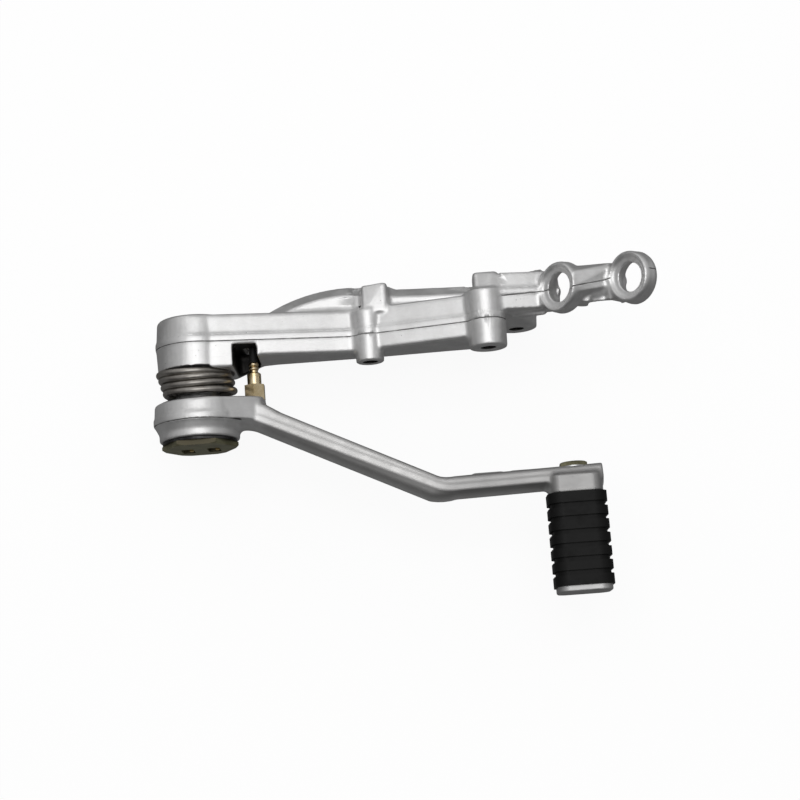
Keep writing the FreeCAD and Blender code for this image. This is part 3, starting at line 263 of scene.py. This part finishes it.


# %% [markdown]
# The skin itself is built in layers: a cloudy silver, then flow lines, then painted shade on some upper faces,
# then dirt and hairlines, and the painted shade in the holes last. The same patterns steer the roughness and a very
# low relief, so that colour, shine and dents agree.

# %% The skin of a silver casting
def cast_skin(name, lines, tone, dirt, sheen, holes=(), window=None, shaded_tops=()):
    """A cast finish. tone is how light it is, dirt how strong its specks are and sheen its roughness. holes and window
    get painted shade, and the last list gives (from x, full at x, share of the light left) for painted shade on upper
    faces."""
    skin = Finish(name, Metallic=0.85, Roughness=sheen)
    patches = skin.cloud(9 * MM, 4, 0.6)
    grain = skin.cloud(0.35 * MM, 3, 0.7)
    flow = skin.cloud(2.2 * MM, 3, 0.6, skin.stretched(0.25, 1, 1), 0.4).between(0.6, 0.72)
    specks = (1 - skin.cells(2.9 * MM).between(0.04, 0.10)) * skin.cloud(6 * MM).between(0.52, 0.62)
    hairline = on_lines(skin, lines) * (0.55 + 0.45 * skin.cloud(4 * MM).between(0.3, 0.6))
    colour = skin.mix(patches.between(0.35, 0.7), grey(tone * 0.88, 0.004), grey(tone, 0.002))
    colour = skin.mix(flow * 0.25, colour, grey(tone * 0.7))
    # Painted shade: upper faces in each listed span of X are darkened to a share of the tone.
    upward = skin.facing("Z").between(0.2, 0.8)
    for first, full, share in shaded_tops:
        colour = skin.mix(upward * skin.axis("X").between(first * MM, full * MM), colour, grey(tone * share, 0.01))
    colour = skin.mix((specks * dirt + hairline * 0.85).limited(), colour, grey(0.06, 0.05))
    # Painted shade: the tapped holes and the limit stud's window are painted nearly black.
    for hole in holes:
        colour = skin.mix(in_bore(skin, *hole), colour, grey(0.025, 0.05))
    if window:
        colour = skin.mix(in_window(skin, *window), colour, grey(0.02, 0.05))
    rough = sheen + (patches - 0.5) * 0.25 + grain * 0.1 + hairline * 0.2
    relief = skin.bump(grain, 0.035 * MM)
    relief = skin.bump(patches, 0.10 * MM, relief)
    relief = skin.bump(1 - (hairline + specks * 0.5).limited(), 0.12 * MM, relief)
    return skin.finish(Base_Color=colour, Roughness=rough.limited(), Normal=relief)


# The bracket's tapped holes and the stud's window get painted shade.
bracket_skin = cast_skin("cast_bracket_skin", bracket_lines, 0.86, 0.5, 0.34, tapped_holes, stop_window)
dress("hanger_bracket", bracket_skin)
# Two spans of the pedal's upper faces get painted shade.
pedal_skin = cast_skin("cast_pedal_skin", [hub_line], 0.88, 0.3, 0.38, shaded_tops=[(-112, -98, 0.66), (-34, -16, 0.45)])
dress("brake_pedal", pedal_skin)
peg_skin = cast_skin("peg_casting", [hub_line], 0.6, 0.3, 0.38)
dress("toe_peg", peg_skin)


# %% [markdown]
# ## Steel, brass and bronze
# Turned and plated pieces differ in colour and shine but age alike: cloudy tarnish, fine scratches along one
# direction and small pits. One recipe with two colours serves them all. The big hexagonal head has painted shade on
# the faces that look up.

# %% Worked metals
def worked_metal(name, light, dark, sheen, wear=0.4, shade_on_top=False):
    """A metal with cloudy colour, fine scratches, a little pitting and perhaps painted shade on the faces that look
    up.
    """
    metal = Finish(name, Metallic=1.0, Roughness=sheen)
    patches = metal.cloud(5 * MM, 4, 0.6)
    scratches = metal.cloud(0.5 * MM, 2, 0.6, metal.stretched(1, 0.15, 1)).between(0.6, 0.8)
    pits = 1 - metal.cells(0.9 * MM).between(0.05, 0.2)
    colour = metal.mix(patches.between(0.3, 0.7), (*dark, 1), (*light, 1))
    colour = metal.mix(scratches * wear, colour, (*light, 1))
    if shade_on_top:
        metal.finish(Metallic=0.7)
        # Painted shade: faces that look up are darkened nearly to black.
        colour = metal.mix(metal.facing("Z").between(0.3, 0.8) * 0.9, colour, (0.05, 0.04, 0.025, 1))
    rough = (sheen + (patches - 0.5) * 0.2 - scratches * 0.08).limited()
    relief = metal.bump(patches - pits * 0.2, 0.03 * MM)
    return metal.finish(Base_Color=colour, Roughness=rough, Normal=relief)


wire_finish = worked_metal("spring_wire", (0.46, 0.44, 0.41), (0.32, 0.30, 0.275), 0.34, wear=0.15)
dress("return_spring", wire_finish)
# The bolt head gets painted shade on its upward faces.
head_finish = worked_metal("bolt_head_steel", (0.42, 0.41, 0.26), (0.27, 0.26, 0.15), 0.42, shade_on_top=True)
dress("pivot_bolt", head_finish)
metals = {
    ("dark_washer_steel", (0.10, 0.10, 0.10), (0.03, 0.03, 0.03), 0.45): ["retaining_washer", "spring_seat_washer"],
    ("ground_steel", (0.6, 0.6, 0.6), (0.4, 0.4, 0.4), 0.3): ["pivot_sleeve", "bolt_lock_washer", "peg_spring_washer"],
    ("bright_brass", (0.9, 0.72, 0.35), (0.6, 0.42, 0.16), 0.25): ["head_lock_pins"],
    ("yellow_zinc", (0.88, 0.74, 0.50), (0.62, 0.48, 0.25), 0.24): ["limit_stud"],
    ("olive_zinc", (0.36, 0.34, 0.22), (0.15, 0.14, 0.085), 0.35): ["bolt_nut", "peg_bolt"],
    ("sintered_bronze", (0.6, 0.42, 0.22), (0.4, 0.27, 0.13), 0.5): ["inboard_bush", "outboard_bush"],
}
for recipe, names in metals.items():
    finish = worked_metal(*recipe)
    for name in names:
        dress(name, finish)


# %% [markdown]
# ## Rubber
# The peg's sleeve and the seals are moulded rubber: nearly black, matt, with dust in soft patches and a fine grain
# that only breaks up the shine.

# %% Rubber pieces
def rubber_skin(name, level, sheen):
    """Moulded rubber. level is how light it is and sheen its roughness."""
    skin = Finish(name, Roughness=sheen, Specular_IOR_Level=0.22)
    grain = skin.cloud(0.25 * MM, 3, 0.7)
    dust = skin.cloud(5 * MM, 4, 0.6).between(0.45, 0.75)
    colour = skin.mix(dust * 0.5, grey(level), grey(level * 2.2, 0.02))
    rough = (sheen + dust * 0.15).limited()
    return skin.finish(Base_Color=colour, Roughness=rough, Normal=skin.bump(grain, 0.05 * MM))


dress("peg_rubber", rubber_skin("peg_rubber_black", 0.005, 0.5))
buffer_finish = rubber_skin("buffer_black", 0.02, 0.45)
for name in ("stud_buffer", "inboard_seal", "outboard_seal"):
    dress(name, buffer_finish)


# %% [markdown]
# ## Soft castings
# Die cast metal has no sharp corner: the mould is rounded everywhere, most of all where two walls meet. A copy of
# the measured casting is wrapped in a fine net of small squares. Swelling that net and shrinking it again fills the
# inner corners, and a little smoothing rounds the outer ones. The tools come first: each selects only its own piece,
# because an operator acts on all that is selected.

# %% Tools for shaping
def only(piece):
    """Selects one piece and nothing else."""
    bpy.ops.object.select_all(action="DESELECT")
    piece.select_set(True)
    bpy.context.view_layer.objects.active = piece


def shape_with(piece, kind, **settings):
    """Adds a modifier and applies it."""
    step = piece.modifiers.new(kind.lower(), kind)
    for key, value in settings.items():
        setattr(step, key, value)
    only(piece)
    bpy.ops.object.modifier_apply(modifier=step.name)


def in_edit_mode(piece, *steps):
    """Runs edit-mode steps, each on the whole mesh."""
    only(piece)
    bpy.ops.object.mode_set(mode="EDIT")
    for step in steps:
        bpy.ops.mesh.select_all(action="SELECT")
        step()
    bpy.ops.object.mode_set(mode="OBJECT")


def merge_doubles():
    """Joins points that lie on each other."""
    bpy.ops.mesh.remove_doubles(threshold=0.01 * MM)


def copy_of(name):
    """A copy of a node's mesh, merged."""
    piece = bpy.data.objects.new(name + "_cast", nodes[name].data.copy())
    bpy.context.scene.collection.objects.link(piece)
    in_edit_mode(piece, merge_doubles)
    return piece


def soften(piece, net, fillet, rounds, most):
    """Rounds a casting. net is the size of the squares, fillet the radius in inner corners, rounds how often it is
    smoothed and most the number of triangles kept."""
    shape_with(piece, "REMESH", mode="VOXEL", voxel_size=net)
    shape_with(piece, "DISPLACE", strength=fillet, mid_level=0)
    shape_with(piece, "REMESH", mode="VOXEL", voxel_size=net)
    shape_with(piece, "DISPLACE", strength=-fillet, mid_level=0)
    shape_with(piece, "REMESH", mode="VOXEL", voxel_size=net)
    shape_with(piece, "SMOOTH", factor=0.5, iterations=rounds)
    shape_with(piece, "DECIMATE", ratio=min(1, most / (2 * len(piece.data.polygons))))
    print(piece.name, len(piece.data.polygons), "faces")


print("tools ready, working in steps of", MM, "m")


# %% [markdown]
# A new form is built up from a prism: a cylinder with as many sides as its outline has corners, whose two ends are
# moved onto two outlines. Pieces joined to a casting are welded to it when it is softened.

# %% A prism between two outlines
def prism(name, outlines):
    """A solid between two outlines with the same number of corners, each a list of (x, y, z) in millimetres."""
    count = len(outlines[0])
    bpy.ops.object.select_all(action="DESELECT")
    bpy.ops.mesh.primitive_cylinder_add(vertices=count, depth=1)
    piece = bpy.context.object
    piece.name = name
    for vertex in piece.data.vertices:
        turn = math.atan2(vertex.co.y, vertex.co.x) / (2 * math.pi) * count
        vertex.co = Vector(outlines[vertex.co.z > 0][round(turn) % count]) * MM
    in_edit_mode(piece, bpy.ops.mesh.normals_make_consistent)
    print(name, "has", len(piece.data.polygons), "faces")
    return piece


def join(piece, *additions):
    """Makes one mesh of a piece and its additions."""
    only(piece)
    for addition in additions:
        addition.select_set(True)
    bpy.ops.object.join()


# %% [markdown]
# The link between the two eyes starts on the rear eye's rim and ends under the front one. It has a bevelled inboard
# edge, a flat top with the parting line, a steep outboard side and a lip below. The arm also flares out before it
# meets the rear eye. The solids have a plainer bar there, and it makes room first.

# %% The bracket's casting
link = prism("link", [
    [(43.5, 30.8, 11.6), (40, 31.2, 15), (38.6, 27.4, 19.6), (38.6, 20.9, 19.7), (38.9, 18.5, 18.8),
     (41.5, 16.3, 14.8), (42, 14.4, 12.8), (43.5, 14.4, 11.6)],
    [(62.5, 31.6, 9), (61.5, 32.2, 13), (58.4, 29.8, 14.8), (56.3, 24.4, 13.8), (56.8, 21.8, 13.6),
     (60.9, 18.9, 10.9), (62, 15.8, 12), (62.5, 15.8, 9.5)]])
flare = prism("flare", [
    [(12, 34.4, -9), (12, 34.4, -3), (12, 30, 0), (12, 17, 0), (12, 14.8, -4), (12, 14.8, -9)],
    [(28.5, 34.0, -4.5), (27, 35.3, 0), (24.5, 31, 3), (24.5, 17, 3), (27, 13.4, 0), (28.5, 15.5, -4.5)]])
side = [(40.4, 20.9), (45.9, 15.6), (45.9, -9), (60.2, -9), (60.2, 9), (53.9, 14.2), (53.9, 28), (40.4, 28)]
room = prism("room", [[(x, y, z) for x, z in side] for y in (5, 45)])
bracket = copy_of("hanger_bracket")
shape_with(bracket, "BOOLEAN", object=room, operation="DIFFERENCE", solver="EXACT")
bpy.data.objects.remove(room)
join(bracket, link, flare)
soften(bracket, net=0.48 * MM, fillet=1.15 * MM, rounds=2, most=150000)

# %% [markdown]
# Some forms are easier to push than to build, as a sculptor would. Inboard of the two bosses, the lugs slope down
# towards the frame. The pivot boss steps back where the spring's last coil lies on it. The bolt's way through each
# eye stays clear, and the arm's front end leans a little outboard.

# %% Pushes into place
lug_start, lug_length, lug_fall, lug_floor = 26, 9, 0.3, -18
lug_spans = [(-60, -47), (-7.5, 7.5)]
for vertex in bracket.data.vertices:
    beyond = vertex.co.y / MM - lug_start
    on_lug = any(low < vertex.co.x / MM < high for low, high in lug_spans)
    if beyond > 0 and lug_floor * MM < vertex.co.z and on_lug:
        vertex.co.z -= min(beyond, lug_length) * lug_fall * MM

seat_inner, seat_outer, seat_end, seat_y = 13.8, 17.3, -116, 2.5
for vertex in bracket.data.vertices:
    reach = math.hypot(vertex.co.x - pivot.x, vertex.co.z - pivot.z) / MM
    if seat_inner < reach < seat_outer and vertex.co.x < seat_end * MM:
        vertex.co.y = max(vertex.co.y, seat_y * MM)

bore_radius, bore_low, bore_high = 6.6, -16, 2
for centre in eye_centres:
    for vertex in bracket.data.vertices:
        along = (vertex.co - centre).dot(eye_axis)
        outward = vertex.co - centre - eye_axis * along
        if bore_low * MM < along < bore_high * MM and 0 < outward.length < bore_radius * MM:
            vertex.co = centre + eye_axis * along + outward.normalized() * bore_radius * MM

lean_from, lean_length, lean_most = 50, 16, 1.1
for vertex in bracket.data.vertices:
    lean = min(max((vertex.co.x / MM - lean_from) / lean_length, 0), 1)
    vertex.co.y -= lean_most * MM * lean * lean
print("lugs, spring seat, two bores and the arm's end pushed into place")


# %% [markdown]
# A parting line is also a fine groove in the metal, which catches the light differently from paint. The surface is
# cut three times along the line, and the points of the middle cut are pressed in.

# %% Parting lines as grooves
def score(piece, line, depth=0.28, half=0.22):
    """Presses a groove of depth and half width, both in millimetres, into the surface along a line."""
    x0, y0, x1, y1 = (value * MM for value in line)
    along = Vector((x1 - x0, y1 - y0, 0)).normalized()
    across = Vector((-along.y, along.x, 0))
    start = Vector((x0, y0, 0))
    bpy.context.tool_settings.mesh_select_mode = (False, False, True)
    only(piece)
    for step in (-half, 0, half):
        near = [x0 < face.center.x < x1 and abs((face.center - start).dot(across)) < 2 * MM
                for face in piece.data.polygons]
        piece.data.polygons.foreach_set("select", near)
        bpy.ops.object.mode_set(mode="EDIT")
        bpy.ops.mesh.bisect(plane_co=start + across * step * MM, plane_no=across)
        bpy.ops.object.mode_set(mode="OBJECT")
    bpy.context.tool_settings.mesh_select_mode = (True, False, False)
    for vertex in piece.data.vertices:
        way = vertex.co - start
        if abs(way.dot(across)) < 0.02 * MM and x0 < vertex.co.x < x1:
            vertex.co -= vertex.normal * depth * MM


def put_on(piece, body, node, material):
    """Hands a finished piece to its body in place of a CAD node."""
    piece.data.materials.clear()
    piece.data.materials.append(material)
    only(piece)
    bpy.ops.object.shade_smooth()
    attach(piece, body)
    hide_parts(node)
    low, high = (Vector([f(v.co[i] for v in piece.data.vertices) for i in range(3)]) / MM for f in (min, max))
    print(piece.name, [round(v, 1) for v in low], "to", [round(v, 1) for v in high])


for line in bracket_lines:
    score(bracket, line)
for line in strip_lines:
    score(bracket, line, depth=0.16, half=0.5)
put_on(bracket, "bracket", "hanger_bracket", bracket_skin)

# %% [markdown]
# The pedal is softened in the same way, with larger fillets, because its lever flows into the hub. On the hub's
# inboard side the wall under the limit stud stands a little further in, so it is pushed there, more and more from the
# pivot forward.

# %% The pedal's casting
pedal = copy_of("brake_pedal")
soften(pedal, net=0.42 * MM, fillet=1.6 * MM, rounds=3, most=120000)
rise_from, rise_length, rise_end, rise_most = -133, 24, -98, 1.3
wall_from, wall_depth = -21, 5
for vertex in pedal.data.vertices:
    forward = min(max((vertex.co.x / MM - rise_from) / rise_length, 0), 1)
    inboard = min(max((vertex.co.y / MM - wall_from) / wall_depth, 0), 1)
    vertex.co.y += rise_most * MM * (forward * inboard) * (vertex.co.x < rise_end * MM)
score(pedal, hub_line)
put_on(pedal, "pedal", "brake_pedal", pedal_skin)

# %% [markdown]
# ## The return spring
# A spring that has worked for years no longer stands straight. Its wire follows a list of heights, one for each
# quarter turn, so that the coils lean as in the photograph. A smooth curve through the list gives the places between.

# %% A crooked coil
heights = [0.8, 0.3, -0.5, 0.9, 0.2, -0.9, -3.3, -1.7, -2.4, -4.0, -6.3, -4.9, -5.6, -7.9, -9.4, -7.9, -9.6, -11.2]
coil_radius, coil_shift, coil_drift, middle_turn = 15.75, -0.8, 0.225, 5


def height_at(turn):
    """Height along Y at a place counted in quarter turns, as a smooth line through the list."""
    first = min(max(math.floor(turn), 0), len(heights) - 2)
    rest = turn - first
    before, here, after, last = (heights[min(max(first + i, 0), len(heights) - 1)] for i in (-1, 0, 1, 2))
    bend = (2 * here + (after - before) * rest + (2 * before - 5 * here + 4 * after - last) * rest ** 2
            + (3 * here - before - 3 * after + last) * rest ** 3)
    return bend / 2


def on_coil(turn):
    """The wire's centre. Quarter turn 1 is at the front, 2 on top. Each coil lies a little ahead of the last."""
    angle = (turn - 1) * math.pi / 2
    shift = coil_shift + coil_drift * (turn - middle_turn)
    across, upward = coil_radius * math.cos(angle), coil_radius * math.sin(angle)
    return pivot + Vector((shift + across, height_at(turn), upward)) * MM


print("the coil runs from Y", heights[0], "to", heights[-1], "mm")

# %% [markdown]
# A flat grid is rolled into the wire: one side of the grid runs along the coil and the other round the wire. The long
# edges meet and are merged, and both ends are closed.

# %% The wire
steps, sides, wire_radius = 384, 18, 1.52 * MM
first_turn, quarter_turns, step_ahead = 0.5, 16, 0.02
bpy.ops.object.select_all(action="DESELECT")
bpy.ops.mesh.primitive_grid_add(x_subdivisions=steps, y_subdivisions=sides, size=2)
spring = bpy.context.object
spring.name = "spring_coil"
for vertex in spring.data.vertices:
    turn = first_turn + (vertex.co.x + 1) / 2 * quarter_turns
    round_angle = (vertex.co.y + 1) * math.pi
    centre = on_coil(turn)
    ahead = (on_coil(turn + step_ahead) - on_coil(turn - step_ahead)).normalized()
    outward = centre - pivot
    outward.y = 0
    outward = (outward - ahead * outward.dot(ahead)).normalized()
    sideways = ahead.cross(outward)
    vertex.co = centre + (outward * math.cos(round_angle) + sideways * math.sin(round_angle)) * wire_radius
in_edit_mode(spring, merge_doubles, lambda: bpy.ops.mesh.fill_holes(sides=sides + 2),
             bpy.ops.mesh.normals_make_consistent)
put_on(spring, "bracket", "return_spring", wire_finish)

# %% [markdown]
# ## Floor, light and camera
# The object hangs a little above a white floor. The camera sees the paper nearly as bright as white light, which
# keeps the background clean, and a soft shadow stays on it. Light that bounces off the floor onto the metal is weak,
# so that the faces that look outboard stay dark, as in the photograph.

# %% A pale floor
bpy.ops.object.select_all(action="DESELECT")
bpy.ops.mesh.primitive_plane_add(size=8, location=(0, 0, -0.062))
floor = bpy.context.object
floor.name = "floor"
paper = Finish("white_paper", Roughness=0.9, Specular_IOR_Level=0)
seen = paper.node("ShaderNodeLightPath", {}, {}, "Is Camera Ray")
mirrored = paper.node("ShaderNodeLightPath", {}, {}, "Is Glossy Ray")
through = paper.node("ShaderNodeLightPath", {}, {}, "Is Transmission Ray")
paper.finish(Base_Color=paper.mix(seen, grey(0.14), grey(0.9)))
glow = paper.node("ShaderNodeEmission", {}, {"Color": grey(1.0), "Strength": 1.08})
lit = Signal(paper, paper.shader.outputs["BSDF"])
share = (seen * 0.84 + mirrored * 0.06 + through).limited()
cover = paper.node("ShaderNodeMixShader", {}, [share, lit, glow])
paper.connect(cover, paper.tree.nodes["Material Output"].inputs["Surface"])
floor.data.materials.append(paper.material)
print("floor at", round(floor.location.z, 3))


# %% [markdown]
# A wide lamp overhead does most of the work: faces that look up are nearly white. A second, weaker one fills the
# inboard side. Both are large beside the object, so that their edges melt in the metal.

# %% Soft lamps
def lamp(name, place, target, width, depth, brightness):
    """A soft box that looks at a target. Its face is as bright as a white card times brightness."""
    data = bpy.data.lights.new(name, "AREA")
    data.shape = "RECTANGLE"
    data.size, data.size_y = width, depth
    data.energy = brightness * math.pi * width * depth
    box = bpy.data.objects.new(name, data)
    bpy.context.scene.collection.objects.link(box)
    way = Vector(target) - Vector(place)
    box.matrix_world = Matrix.Translation(Vector(place)) @ way.to_track_quat("-Z", "Y").to_matrix().to_4x4()
    print(name, round(data.energy, 2), "W")


middle = (-0.04, 0, 0)
lamp("overhead", (-0.04, 0.10, 0.95), middle, 0.75, 0.60, 1.55)
lamp("inboard_fill", (-0.35, 0.85, 0.55), middle, 0.5, 0.4, 0.5)

# %% [markdown]
# The room round the object is brighter above and inboard than outboard, so that the outboard faces fall into shade.
# The camera itself sees it as plain white.

# %% A room that is brighter inboard
world = bpy.data.worlds.new("studio")
bpy.context.scene.world = world
world.use_nodes = True
sky = Circuit(world.node_tree)
direction = sky.node("ShaderNodeTexCoord", {}, {}, "Generated")
height = sky.node("ShaderNodeVectorMath", {"operation": "DOT_PRODUCT"}, [direction, (0, 0.6, 0.8)], "Value")
seen = sky.node("ShaderNodeLightPath", {}, {}, "Is Camera Ray")
strength = seen.maths("MAXIMUM", height.between(-0.4, 0.9, least=0.03, most=0.50))
background = world.node_tree.nodes["Background"]
sky.connect(strength, background.inputs["Strength"])
sky.connect(grey(1.0), background.inputs["Color"])
print("room from 0.03 to 0.5")

# %% [markdown]
# The photograph was taken from above and a little outboard, with the camera slightly turned. A long lens at three
# quarters of a metre gives the same slight perspective. The three directions of the camera are worked out from its
# tilt and its roll and then written into its matrix.

# %% Camera
picture_width, focal_length = 800, 1700     # both in pixels of the photograph
camera_data = bpy.data.cameras.new("camera")
camera_data.sensor_width = 36
camera_data.lens = camera_data.sensor_width * focal_length / picture_width
camera = bpy.data.objects.new("camera", camera_data)
bpy.context.scene.collection.objects.link(camera)
tilt, roll = math.radians(11), math.radians(4.25)
back = Vector((0, -math.sin(tilt), math.cos(tilt)))
level_right, level_up = Vector((1, 0, 0)), Vector((0, math.cos(tilt), math.sin(tilt)))
right = level_right * math.cos(roll) - level_up * math.sin(roll)
up = level_right * math.sin(roll) + level_up * math.cos(roll)
place = Vector((-41.49, -165.93, 747.06)) * MM
camera.matrix_world = Matrix.Translation(place) @ Matrix((right, up, back)).transposed().to_4x4()
bpy.context.scene.camera = camera
bpy.context.scene.view_settings.view_transform = "Standard"
print("camera lens", round(camera_data.lens, 1), "mm")
